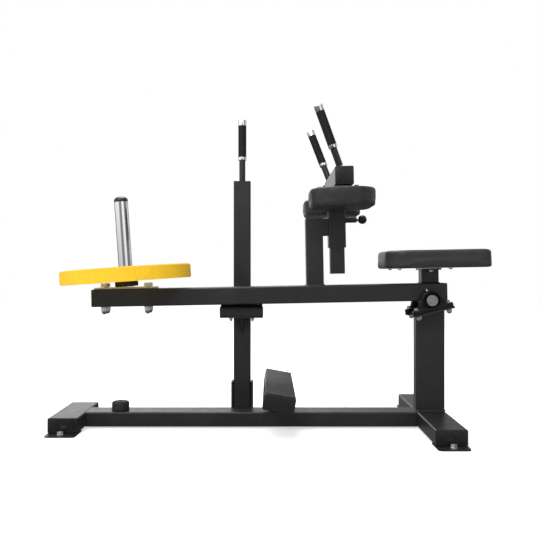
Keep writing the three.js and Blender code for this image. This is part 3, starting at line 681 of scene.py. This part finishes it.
def make_peg():
    low, high = local_box("weight_peg", LEVER)
    middle = (low + high) / 2
    base = moved(LEVER, middle.x, middle.y, low.z)
    flange = block_rings(high.x - low.x, high.y - low.y, 0, 6 * MM, 3 * MM, edge=0.8 * MM)
    piece("weight_peg_flange", loft(flange), base, "lever", ZINC, ["weight_peg"])
    peg_top = local_box("peg_cap", PEG)[1].z
    tube_top = local_box("weight_peg", PEG)[1].z
    radius = 24 * MM
    bottom = local_box("peg_stop_ring", PEG)[0].z - 1.5 * MM
    tube = turned_rings([
        (radius, bottom), (radius, tube_top - 0.5 * MM), (radius - 0.5 * MM, tube_top),
        (radius - 4 * MM, tube_top), (radius - 4 * MM, bottom)], 64)
    piece("weight_peg_tube", loft(tube, closed=True), PEG, "lever", CHROME, ["weight_peg"])
    make_peg_cap(peg_top, tube_top, radius)
    make_stop_ring(radius)
    for end in ("front", "rear"):
        for side in SIDES:
            make_bolt(f"peg_bolt_{end}_{side}", LEVER, "lever", 20 * MM, 10 * MM, 12 * MM, 27 * MM)


def make_peg_cap(top, tube_top, radius):
    """Domed plastic cap in the open end of the peg."""
    inside = radius - 4.4 * MM
    lip = tube_top + GAP
    height = top - lip
    straight = 5 * MM
    profile = [(inside, lip - 18 * MM), (inside, lip), (radius - 0.4 * MM, lip), (radius, lip + 0.6 * MM),
               (radius, lip + straight)]
    steps = 9
    for i in range(1, steps + 1):
        angle = math.pi / 2 * i / steps
        profile.append((radius * math.cos(angle), lip + straight + (height - straight) * math.sin(angle)))
    piece("peg_cap_fine", loft(turned_rings(profile)), PEG, "lever", PLASTIC, ["peg_cap"])


def make_stop_ring(radius):
    low, high = local_box("peg_stop_ring", PEG)
    outer = (high.y - low.y) / 2
    edge = 2 * MM
    inner = radius + GAP
    profile = [(inner, low.z), (outer - edge, low.z), (outer, low.z + edge), (outer, high.z - edge),
               (outer - edge, high.z), (inner, high.z)]
    rings = turned_rings(profile)
    piece("peg_stop_ring_fine", loft(rings, closed=True), PEG, "lever", RUBBER,
          ["peg_stop_ring"])


def rounded_profile(points, radius, steps=4):
    """A closed (radius, height) profile with its corners rounded off."""
    result = []
    count = len(points)
    for i, point in enumerate(points):
        here = Vector(point)
        before = Vector(points[i - 1]) - here
        after = Vector(points[(i + 1) % count]) - here
        size = min(radius, before.length * 0.45, after.length * 0.45)
        start = here + before.normalized() * size
        end = here + after.normalized() * size
        for j in range(steps + 1):
            t = j / steps
            result.append(tuple(start * (1 - t) ** 2 + here * 2 * t * (1 - t) + end * t ** 2))
    return result


def make_weight():
    """Bumper plate: rounded rim, dished web with a raised ring, boss, and the steel hub."""
    low, high = local_box("weight_plate", PEG)
    hub_low, hub_high = local_box("weight_plate_hub", PEG)
    outer = (high.y - low.y) / 2
    hub = (hub_high.y - hub_low.y) / 2
    dish = 8 * MM
    rim = 168 * MM
    boss = 62 * MM
    slope = 6 * MM
    lip = 4.5 * MM
    points = [
        (hub + GAP, low.z), (boss, low.z), (boss + slope, low.z + dish), (rim - slope, low.z + dish),
        (rim, low.z), (outer - lip, low.z), (outer, low.z + lip), (outer, high.z - lip),
        (outer - lip, high.z), (rim, high.z), (rim - slope, high.z - dish), (boss + slope, high.z - dish),
        (boss, high.z), (hub + GAP, high.z)]
    rings = turned_rings(rounded_profile(points, 2.5 * MM), 160)
    piece("weight_plate_fine", loft(rings, closed=True), PEG, "weight", YELLOW,
          ["weight_plate"])
    bore = 25.5 * MM
    chamfer = 1.5 * MM
    ring = turned_rings([
        (bore, low.z + chamfer), (bore + chamfer, low.z), (hub - 0.5 * MM, low.z), (hub, low.z + 0.5 * MM),
        (hub, high.z - 0.5 * MM), (hub - 0.5 * MM, high.z), (bore + chamfer, high.z),
        (bore, high.z - chamfer)], 64)
    piece("weight_hub_fine", loft(ring, closed=True), PEG, "weight", ZINC, ["weight_plate_hub"])


# ---- Handles ----

def make_handle(name, space, rod_length, body, rod_node, grip_node, buried=0.0):
    """Painted rod, chrome collar, ribbed rubber sleeve and chrome end cap, from z = 0 upwards."""
    core = 9 * MM
    rod = [(ROD_RADIUS, -buried), (ROD_RADIUS, rod_length), (core, rod_length),
           (core, rod_length + COLLAR + GRIP)]
    piece(f"{name}_rod", loft(turned_rings(rod, 40)), space, body, POWDER, [rod_node])
    collar_low = rod_length + GAP
    collar_high = rod_length + COLLAR
    collar = rounded_profile([(9.2 * MM, collar_low), (COLLAR_RADIUS, collar_low),
                              (COLLAR_RADIUS, collar_high), (9.2 * MM, collar_high)], 1 * MM)
    piece(f"{name}_collar", loft(turned_rings(collar), closed=True), space, body, CHROME)
    low = collar_high + GAP
    high = collar_high + GRIP - GAP
    sleeve = turned_rings(sleeve_profile(low, high))
    piece(f"{name}_sleeve", loft(sleeve, closed=True), space, body, GRIP_SKIN, [grip_node])
    base = collar_high + GRIP
    top = base + END_CAP
    cap = [(COLLAR_RADIUS - 0.8 * MM, base), (COLLAR_RADIUS, base + 0.8 * MM)]
    round_edge = 3 * MM
    steps = 5
    for i in range(steps + 1):
        angle = math.pi / 2 * i / steps
        cap.append((COLLAR_RADIUS - round_edge * (1 - math.cos(angle)),
                    top - round_edge + round_edge * math.sin(angle)))
    piece(f"{name}_end_cap", loft(turned_rings(cap)), space, body, CHROME)


def sleeve_profile(low, high):
    """Hand grip with plain ends and fine round ribs between them."""
    inner = 9.3 * MM
    plain = 6 * MM
    pitch = 4 * MM
    ribs = int((high - low - 2 * plain) / pitch)
    start = (low + high - ribs * pitch) / 2
    profile = [(inner, low), (GRIP_RADIUS - 1 * MM, low), (GRIP_RADIUS, low + 1 * MM), (GRIP_RADIUS, start)]
    for rib in range(ribs):
        for share, depth in ((0.15, 0.35), (0.3, 0.0), (0.85, 0.0)):
            profile.append((GRIP_RADIUS - depth * MM, start + (rib + share) * pitch))
    profile += [(GRIP_RADIUS, high - 1 * MM), (GRIP_RADIUS - 1 * MM, high), (inner, high)]
    return profile


def make_handles():
    bar_top = local_box("handle_crossbar", LEVER)[1].z
    lean = Matrix.Rotation(-HANDLE_LEAN, 4, "Y")
    for side, sign in SIDES.items():
        splay = Matrix.Rotation(-sign * HANDLE_SPLAY, 4, "X")
        space = moved(LEVER, HANDLE_FOOT_X, sign * HANDLE_FOOT_Y, bar_top) @ splay @ lean
        make_handle(f"pad_handle_{side}", space, HANDLE_ROD, "thigh_pads", f"handle_rod_{side}",
                    f"handle_grip_{side}", buried=-1 * MM)
    low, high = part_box("catch_handle")
    middle = (low + high) / 2
    space = Matrix.Translation((middle.x, middle.y, low.z))
    make_handle("catch_lever", space, CATCH_ROD, "catch", "catch_handle", "catch_grip")


# ---- Lock pin ----

def make_lock_pin():
    low, high = local_box("pin_barrel", LEVER)
    middle = (low + high) / 2
    space = moved(LEVER, low.x, middle.y, middle.z) @ ALONG_X
    length = high.x - low.x
    outer = (high.y - low.y) / 2
    inner = 5.3 * MM
    foot = outer + 1.5 * MM
    barrel = rounded_profile([(inner, 0), (foot, 0), (foot, 3 * MM), (outer, 5 * MM), (outer, length),
                              (inner, length)], 0.8 * MM)
    piece("pin_barrel_fine", loft(turned_rings(barrel), closed=True), space, "lever", POWDER,
          ["pin_barrel"])
    pin_low, pin_high = local_box("lock_pin", space)
    knob_low, knob_high = local_box("pin_knob", space)
    pin = [(4 * MM, pin_low.z), (5 * MM, pin_low.z + 1 * MM), (5 * MM, length + GAP), (6 * MM, length + GAP),
           (6.5 * MM, length + 0.8 * MM), (6.5 * MM, knob_low.z - 0.5 * MM), (4 * MM, knob_low.z - GAP),
           (4 * MM, pin_high.z)]
    piece("lock_pin_fine", loft(turned_rings(pin, 32)), space, "pin", CHROME, ["lock_pin"])
    radius = (knob_high.y - knob_low.y) / 2
    flat = 7 * MM
    start = math.asin(flat / radius)
    centre = knob_low.z + radius * math.cos(start)
    steps = 20
    knob = [(4.3 * MM, knob_low.z + 13 * MM), (4.3 * MM, knob_low.z)]
    for i in range(steps + 1):
        angle = start + (math.pi - start) * i / steps
        knob.append((radius * math.sin(angle), centre - radius * math.cos(angle)))
    piece("pin_knob_fine", loft(turned_rings(knob)), space, "pin", GLOSS, ["pin_knob"])


# ---- Catch ----

def make_catch():
    low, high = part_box("catch_pad")
    post_low, post_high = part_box("catch_post")
    shelf_low, shelf_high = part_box("catch_shelf")
    make_bolt("catch_hinge_bolt", hinge_space(), "frame", 19 * MM, 8 * MM, 12 * MM, 14 * MM)
    make_catch_pad(low, high)
    cap = Matrix.Translation(((post_low.x + post_high.x) / 2, (post_low.y + post_high.y) / 2, post_high.z))
    size = post_high - post_low
    ring = block_rings(size.x - 0.4 * MM, size.y - 0.4 * MM, -2 * MM, GAP * 0.5, TUBE_CORNER, edge=0.6 * MM)
    piece("catch_post_top", loft(ring), cap, "catch", POWDER)
    middle_y = (shelf_low.y + post_low.y) / 2
    plate_bottom = shelf_high.z - 37.5 * MM
    for end, sign in (("front", -1), ("rear", 1)):
        spot = Matrix.Translation(((low.x + high.x) / 2 + sign * 38 * MM, middle_y, plate_bottom)) @ DOWN
        nut = loft(hex_rings(13 * MM, 0.3 * MM, 7 * MM))
        stud = loft(turned_rings([(4 * MM, 5 * MM), (4 * MM, 13 * MM), (3.2 * MM, 14 * MM)], 20))
        piece(f"shelf_nut_{end}", [nut, stud], spot, "catch", ZINC)
    for end, sign in (("low", -1), ("high", 1)):
        x = (low if sign < 0 else high).x
        size_y = post_low.y - GAP - low.y + 2 * MM
        height = shelf_high.z - plate_bottom - 4 * MM
        centre = Vector((x, low.y - 2 * MM + size_y / 2, shelf_high.z - height / 2))
        turn = Matrix.Translation(centre) @ Matrix.Rotation(sign * math.pi / 2, 4, "Y")
        tube_cap(f"catch_shelf_cap_{end}", turn, height, size_y, "catch")


def hinge_space():
    """The hinge bolt's own space, with its head towards +Z."""
    hinge = Vector(joints["catch_hinge"]["pos_m"])
    return Matrix.Translation(hinge) @ ALONG_X


def make_catch_pad(low, high):
    """Wear pad whose top is an arc about the catch hinge, so that it clears the beam as it swings."""
    hinge = Vector(joints["catch_hinge"]["pos_m"])
    edge = high.y
    radius = math.hypot(hinge.y - edge, high.z - hinge.z) - 0.05 * MM
    steps = 12
    ring = [(edge, low.z), (low.y, low.z)]
    for i in range(steps + 1):
        y = low.y + (edge - low.y) * i / steps
        ring.append((y, hinge.z + math.sqrt(radius ** 2 - (hinge.y - y) ** 2)))
    centre = Vector((sum(p[0] for p in ring), sum(p[1] for p in ring))) / len(ring)
    rings = []
    inset = 0.8 * MM
    for x, share in ((low.x, 1), (low.x + inset, 0), (high.x - inset, 0), (high.x, 1)):
        row = []
        for y, z in ring:
            pull = (centre - Vector((y, z))).normalized() * inset * share
            row.append(Vector((x, y + pull.x, z + pull.y)))
        rings.append(row)
    skin = loft([row[::-1] for row in rings])
    piece("catch_pad_fine", skin, WORLD, "catch", RUBBER, ["catch_pad"])


# ---- Cushions ----

ROOM = 1 * MM
SWELL = 2 * MM
SWELL_FRAMES = 20

def stuffed(name, rings, space, body, pinned, replaces):
    """Vinyl over foam: blown up a little by a cloth simulation, held where it meets its board."""
    cushion = piece(name, loft(rings), space, body, VINYL, replaces)
    remesh = cushion.modifiers.new("even", "REMESH")
    remesh.mode = "VOXEL"
    remesh.voxel_size = 4.5 * MM
    apply_modifiers(cushion)
    swell(cushion, space, pinned)
    smooth = cushion.modifiers.new("smooth", "SMOOTH")
    smooth.iterations = 3
    smooth.factor = 0.5
    finer = cushion.modifiers.new("finer", "SUBSURF")
    finer.levels = 1
    finer.render_levels = 1
    apply_modifiers(cushion)
    cushion.data.shade_smooth()


def swell(cushion, space, pinned):
    """Cloth with pressure for a few frames. No point ends further than SWELL from where it was."""
    inverse = space.inverted()
    before = [vertex.co.copy() for vertex in cushion.data.vertices]
    group = cushion.vertex_groups.new(name="board")
    group.add([i for i, point in enumerate(before) if pinned((inverse @ point).z)], 1.0, "ADD")
    cloth = cushion.modifiers.new("cloth", "CLOTH")
    cloth.settings.vertex_group_mass = "board"
    cloth.settings.use_pressure = True
    cloth.settings.uniform_pressure_force = 4
    cloth.settings.effector_weights.gravity = 0
    cloth.point_cache.frame_start = 1
    cloth.point_cache.frame_end = SWELL_FRAMES
    scene = bpy.context.scene
    for number in range(1, SWELL_FRAMES + 1):
        scene.frame_set(number)
    apply_modifiers(cushion)
    scene.frame_set(1)
    for vertex, old in zip(cushion.data.vertices, before):
        move = vertex.co - old
        if move.length > 1e-9:
            vertex.co = old + move.normalized() * SWELL * math.tanh(move.length / SWELL)
    cushion.vertex_groups.clear()


def screw_head(flats, head_low, head_high, washer, washer_thick):
    """A hexagon head and the washer under it, from z = 0 upwards."""
    head = loft(hex_rings(flats, head_low, head_high))
    return [head, loft(turned_rings([(washer, 0), (washer, washer_thick)], 32))]


def make_seat():
    low, high = local_box("seat_cushion", LEVER)
    middle = (low + high) / 2
    size = high - low
    spot = moved(LEVER, middle.x, middle.y, low.z)
    rings = block_rings(size.x - 2 * ROOM, size.y - 2 * ROOM, 0.4 * MM, size.z - ROOM, 71 * MM, 35 * MM,
                        edge=9 * MM, steps=12, edge_steps=6)
    stuffed("seat_cushion_vinyl", rings, spot, "lever", lambda z: z < 12 * MM, ["seat_cushion"])
    mount_low, mount_high = local_box("seat_mount", LEVER)
    centre = (mount_low + mount_high) / 2
    under = mount_high.z - 6 * MM - GAP
    for end, x in (("front", -130 * MM), ("rear", 42 * MM)):
        for side, sign in SIDES.items():
            place = moved(LEVER, middle.x + x, sign * 100 * MM, low.z - GAP) @ DOWN
            skins = screw_head(10 * MM, 1 * MM, 4.5 * MM, 8 * MM, 1.2 * MM)
            piece(f"seat_screw_{end}_{side}", skins, place, "lever", ZINC)
    for side, sign in SIDES.items():
        place = moved(LEVER, centre.x, sign * 46 * MM, under) @ DOWN
        skins = screw_head(13 * MM, 1.4 * MM, 6.6 * MM, 9 * MM, 1.4 * MM)
        piece(f"seat_bolt_{side}", skins, place, "lever", ZINC)


def make_thigh_pads():
    for side in SIDES:
        node = f"thigh_pad_{side}"
        low, high = local_box(node, LEVER)
        middle = (low + high) / 2
        size = high - low
        spot = moved(LEVER, middle.x, middle.y, low.z)
        rings = block_rings(size.x - 2 * ROOM, size.y - 2 * ROOM, ROOM, size.z - 0.4 * MM, 91 * MM,
                            edge=8 * MM, steps=14, edge_steps=6)
        top = size.z - 12 * MM
        stuffed(f"{node}_vinyl", rings, spot, "thigh_pads", lambda z: z > top, [node])
        make_pad_bolts(side)


def make_pad_bolts(side):
    """The four screws that hold a thigh pad on its plate, beside the crossbar."""
    low, high = local_box(f"pad_plate_{side}", LEVER)
    middle = (low + high) / 2
    for end, x in (("front", -55 * MM), ("rear", 55 * MM)):
        for row, y in (("inner", -32 * MM), ("outer", 32 * MM)):
            place = moved(LEVER, middle.x + x, middle.y + y, high.z + GAP)
            skins = screw_head(13 * MM, 1.4 * MM, 6.4 * MM, 9 * MM, 1.4 * MM)
            piece(f"pad_bolt_{side}_{end}_{row}", skins, place, "thigh_pads", ZINC)


# ---- Lever details ----

def make_lever_details():
    tube_ends("lever_beam", LEVER, 0, "lever")
    tube_ends("handle_crossbar", LEVER, 1, "thigh_pads")
    tube_ends("pad_slider", LEVER, 2, "thigh_pads", skip=("high",))
    low, high = local_box("pad_post", LEVER)
    width = high.y - low.y
    spot = moved(LEVER, low.x + width / 2, 0, high.z)
    cap = block_rings(width - 0.6 * MM, width - 0.6 * MM, -2 * MM, GAP * 0.5, TUBE_CORNER, edge=0.6 * MM)
    piece("pad_post_top", loft(cap), spot, "lever", POWDER)


def weld(name, space, width, depth, body, radius=2.6 * MM):
    """Rippled weld bead round the foot of a square tube, in the XY plane of its space."""
    path = outline(width + radius, depth + radius, TUBE_CORNER + radius / 2, steps=5)
    dense = []
    for i, (x, y) in enumerate(path):
        after = path[(i + 1) % len(path)]
        step = math.hypot(after[0] - x, after[1] - y)
        parts = max(1, int(step / (1.6 * MM)))
        for j in range(parts):
            t = j / parts
            dense.append((x + (after[0] - x) * t, y + (after[1] - y) * t))
    rings = []
    count = len(dense)
    for i, (x, y) in enumerate(dense):
        before = dense[i - 1]
        after = dense[(i + 1) % count]
        heading = Vector((after[0] - before[0], after[1] - before[1], 0)).normalized()
        outward = Vector((heading.y, -heading.x, 0))
        size = radius * (1 + 0.12 * math.sin(i * 1.9))
        row = []
        for k in range(8):
            angle = -2 * math.pi * k / 8
            rise = Vector((0, 0, size * math.sin(angle)))
            row.append(Vector((x, y, 0)) + outward * size * math.cos(angle) + rise)
        rings.append(row)
    piece(name, loft(rings, closed=True), space, body, POWDER)


def make_welds():
    """A bead where each post stands on its tube."""
    tube = 60 * MM
    low, high = local_box("pad_post", LEVER)
    weld("weld_pad_post", moved(LEVER, low.x + tube / 2, 0, low.z), tube, tube, "lever")
    low, high = local_box("seat_mount", LEVER)
    weld("weld_seat_post", moved(LEVER, SEAT_POST_X, 0, low.z), tube, tube, "lever")
    low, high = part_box("rear_upright")
    middle = (low + high) / 2
    weld("weld_upright", moved(WORLD, middle.x, middle.y, low.z), high.x - low.x, high.y - low.y, "frame")
    low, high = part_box("foot_bar_bracket")
    middle = (low + high) / 2
    weld("weld_foot_bracket", moved(WORLD, middle.x, middle.y, low.z), tube, tube, "frame")


# ---- Stage, light and camera ----

def make_stage():
    """Pale floor and a white wall all round. Reflections show the studio's panels, not these two."""
    size = 14.0
    floor = stage_piece("floor", [(-size, -size, 0), (size, -size, 0), (size, size, 0), (-size, size, 0)],
                        [(0, 1, 2, 3)])
    paint = new_shader("floor_paint", (0.9, 0.9, 0.9), 0.9, Specular_IOR_Level=0.1, Emission_Strength=0.5)
    paint.node_tree.nodes["Principled BSDF"].inputs["Emission Color"].default_value = (1, 1, 1, 1)
    floor.data.materials.append(paint)
    radius = 9.0
    steps = 64
    points = circle(radius, steps)
    corners = [(x, y, z) for z in (-0.5, 8.0) for x, y in points]
    sides = [(i, (i + 1) % steps, steps + (i + 1) % steps, steps + i) for i in range(steps)]
    wall = stage_piece("wall", corners, sides)
    wall.visible_diffuse = False
    wall.visible_shadow = False
    white = bpy.data.materials.new("wall_white")
    white.use_nodes = True
    white.node_tree.nodes.remove(white.node_tree.nodes["Principled BSDF"])
    glow = add_node(white, "ShaderNodeEmission", {"Strength": 1.0})
    surface = white.node_tree.nodes["Material Output"].inputs["Surface"]
    white.node_tree.links.new(glow.outputs["Emission"], surface)
    wall.data.materials.append(white)


def stage_piece(name, corners, faces):
    mesh = bpy.data.meshes.new(name)
    mesh.from_pydata(corners, [], faces)
    thing = bpy.data.objects.new(name, mesh)
    bpy.context.scene.collection.objects.link(thing)
    thing.visible_glossy = False
    return thing


# The studio round the machine: degrees from -Y towards +X, and how bright it is there.
STUDIO = (
    (-180, 0.9), (-165, 1.6), (-150, 1.3), (-141, 0.15), (-124, 0.15), (-104, 1.15), (-38, 1.15), (-25, 0.5),
    (-13, 0.25), (-4, 0.25), (8, 0.3), (20, 1.0), (44, 1.0), (60, 0.2), (86, 0.2), (104, 0.8), (130, 0.7),
    (150, 0.25), (168, 0.4), (180, 0.9))


def make_world():
    """Pale studio surroundings in upright panels, dimmer below."""
    world = bpy.data.worlds.new("studio")
    bpy.context.scene.world = world
    world.use_nodes = True
    nodes = world.node_tree.nodes
    link = world.node_tree.links.new
    place = nodes.new("ShaderNodeTexCoord")
    split = nodes.new("ShaderNodeSeparateXYZ")
    link(place.outputs["Generated"], split.inputs["Vector"])

    def maths(operation, a, b):
        node = nodes.new("ShaderNodeMath")
        node.operation = operation
        for socket, value in zip(node.inputs, (a, b)):
            if isinstance(value, (int, float)):
                socket.default_value = value
            else:
                link(value, socket)
        return node.outputs["Value"]

    azimuth = maths("ARCTAN2", split.outputs["X"], maths("MULTIPLY", split.outputs["Y"], -1.0))
    ramp = nodes.new("ShaderNodeValToRGB")
    ramp.color_ramp.interpolation = "EASE"
    link(maths("ADD", maths("DIVIDE", azimuth, 2 * math.pi), 0.5), ramp.inputs["Fac"])
    stops = ramp.color_ramp.elements
    while len(stops) < len(STUDIO):
        stops.new(1.0)
    brightest = max(value for degrees, value in STUDIO)
    for stop, (degrees, value) in zip(stops, STUDIO):
        stop.position = degrees / 360 + 0.5
        share = value / brightest
        stop.color = (share, share, share, 1)
    height = nodes.new("ShaderNodeMapRange")
    height.interpolation_type = "SMOOTHSTEP"
    for socket, value in zip(("From Min", "From Max", "To Min", "To Max"), (-0.2, 0.15, 0.16, 1.0)):
        height.inputs[socket].default_value = value
    link(split.outputs["Z"], height.inputs["Value"])
    strength = maths("MULTIPLY", ramp.outputs["Color"], height.outputs["Result"])
    link(maths("MULTIPLY", strength, brightest), nodes["Background"].inputs["Strength"])
    nodes["Background"].inputs["Color"].default_value = (1, 1, 1, 1)


def area_light(name, place, target, size, power):
    data = bpy.data.lights.new(name, "AREA")
    data.shape = "DISK"
    data.size = size
    data.energy = power
    light = bpy.data.objects.new(name, data)
    light.location = place
    light.rotation_euler = (Vector(target) - Vector(place)).to_track_quat("-Z", "Y").to_euler()
    bpy.context.scene.collection.objects.link(light)


def make_lights():
    middle = (cad_low + cad_high) / 2
    area_light("key", (-1.2, -4.0, 3.6), middle, 3.0, 120)
    area_light("top", (-0.6, 1.5, 4.5), middle, 3.0, 150)


def make_camera():
    data = bpy.data.cameras.new("camera")
    data.lens = 50
    data.sensor_width = 36
    camera = bpy.data.objects.new("camera", data)
    camera.location = (-0.0055, -2.617, 0.542)
    camera.rotation_euler = (math.pi / 2, 0, 0)
    bpy.context.scene.collection.objects.link(camera)
    bpy.context.scene.camera = camera


make_camera()
make_stage()
make_world()
make_lights()
bpy.context.scene.view_settings.view_transform = "Standard"
finish_frame()
make_floor_hardware()
make_rubber_stop()
make_foot_bar()
make_bearings()
make_peg()
make_weight()
make_handles()
make_lock_pin()
make_catch()
make_lever_details()
make_welds()
make_seat()
make_thigh_pads()
